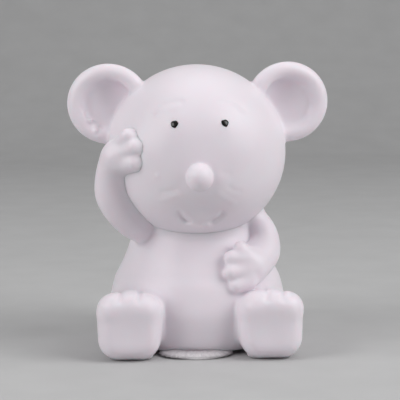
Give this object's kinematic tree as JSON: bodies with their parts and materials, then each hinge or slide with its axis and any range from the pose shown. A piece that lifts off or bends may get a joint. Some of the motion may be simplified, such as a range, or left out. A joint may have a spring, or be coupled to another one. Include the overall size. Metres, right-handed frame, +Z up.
{
  "type": "clockwork mouse",
  "caption": "Seated mouse figure with a paw raised to its cheek, a wind-up motor inside, a winding key at the back, and drive wheels and a roller under the base.",
  "frame": {"origin": "on the floor, under the middle of the toy's width and of its length from nose to key", "axes": "+Z up; the mouse faces -Y and its key is at +Y; +X is the mouse's left-hand side, the side of the paw on its belly"},
  "size_m": [0.0688, 0.0684, 0.076],
  "materials": {
    "vinyl": "satin",
    "eye": "gloss",
    "base": "rough moulded",
    "screw": "zinc plated",
    "steel": "brushed",
    "spring": "blued",
    "brass": "machined",
    "key": "nickel plated",
    "nylon": "satin",
    "rubber": "matte"
  },
  "bodies": {
    "mouse": {"body_shell": "vinyl", "head_shell": "vinyl", "eye_left": "eye", "eye_right": "eye", "base_plate": "base", "motor_screws": "screw", "front_plate": "steel", "back_plate": "steel", "plate_pillars": "brass", "plate_screws": "screw", "click_spring": "spring", "click_rivet": "brass", "key_bush": "brass", "roller_pin": "steel"},
    "winder": {"winding_arbor": "steel", "winding_key": "key", "ratchet_wheel": "steel"},
    "barrel": {"barrel": "brass", "barrel_cover": "steel", "mainspring": "spring"},
    "second": {"second_arbor": "steel", "second_pinion": "brass", "second_wheel": "brass"},
    "third": {"third_arbor": "steel", "third_pinion": "brass", "contrate_wheel": "brass", "governor_wheel": "brass"},
    "governor": {"governor_arbor": "steel", "governor_pinion": "brass", "governor_fly": "steel"},
    "drive_axle": {"axle": "steel", "axle_pinion": "brass", "wheel_left": "nylon", "wheel_right": "nylon", "tyre_left": "rubber", "tyre_right": "rubber"},
    "roller": {"front_roller": "rubber"}
  },
  "joints": [
    {"name": "axle_spin", "type": "hinge", "parent": "mouse", "child": "drive_axle", "pos_m": [0, -0.00205, 0.009], "axis": [1, 0, 0], "continuous": true},
    {"name": "third_spin", "type": "hinge", "parent": "mouse", "child": "third", "pos_m": [0, 0.003, 0.009], "axis": [0, 1, 0], "continuous": true},
    {"name": "second_spin", "type": "hinge", "parent": "mouse", "child": "second", "pos_m": [0, 0.004, 0.017], "axis": [0, 1, 0], "continuous": true},
    {"name": "barrel_spin", "type": "hinge", "parent": "mouse", "child": "barrel", "pos_m": [0, 0.007, 0.027], "axis": [0, 1, 0], "continuous": true, "deforming": ["mainspring"]},
    {"name": "governor_spin", "type": "hinge", "parent": "mouse", "child": "governor", "pos_m": [-0.00624, 0.007, 0.01218], "axis": [0, 1, 0], "continuous": true},
    {"name": "key_wind", "type": "hinge", "parent": "mouse", "child": "winder", "pos_m": [0, 0.012, 0.027], "axis": [0, 1, 0], "range_deg": [-1800, 0], "deforming": ["click_spring", "mainspring"]},
    {"name": "roller_spin", "type": "hinge", "parent": "mouse", "child": "roller", "pos_m": [0, -0.01255, 0.0035], "axis": [1, 0, 0], "continuous": true}
  ],
  "couplings": [
    {"joint": "third_spin", "follows": "axle_spin", "ratio": -0.5},
    {"joint": "second_spin", "follows": "axle_spin", "ratio": 0.16667},
    {"joint": "barrel_spin", "follows": "axle_spin", "ratio": -0.041667},
    {"joint": "governor_spin", "follows": "axle_spin", "ratio": 1.25}
  ]
}
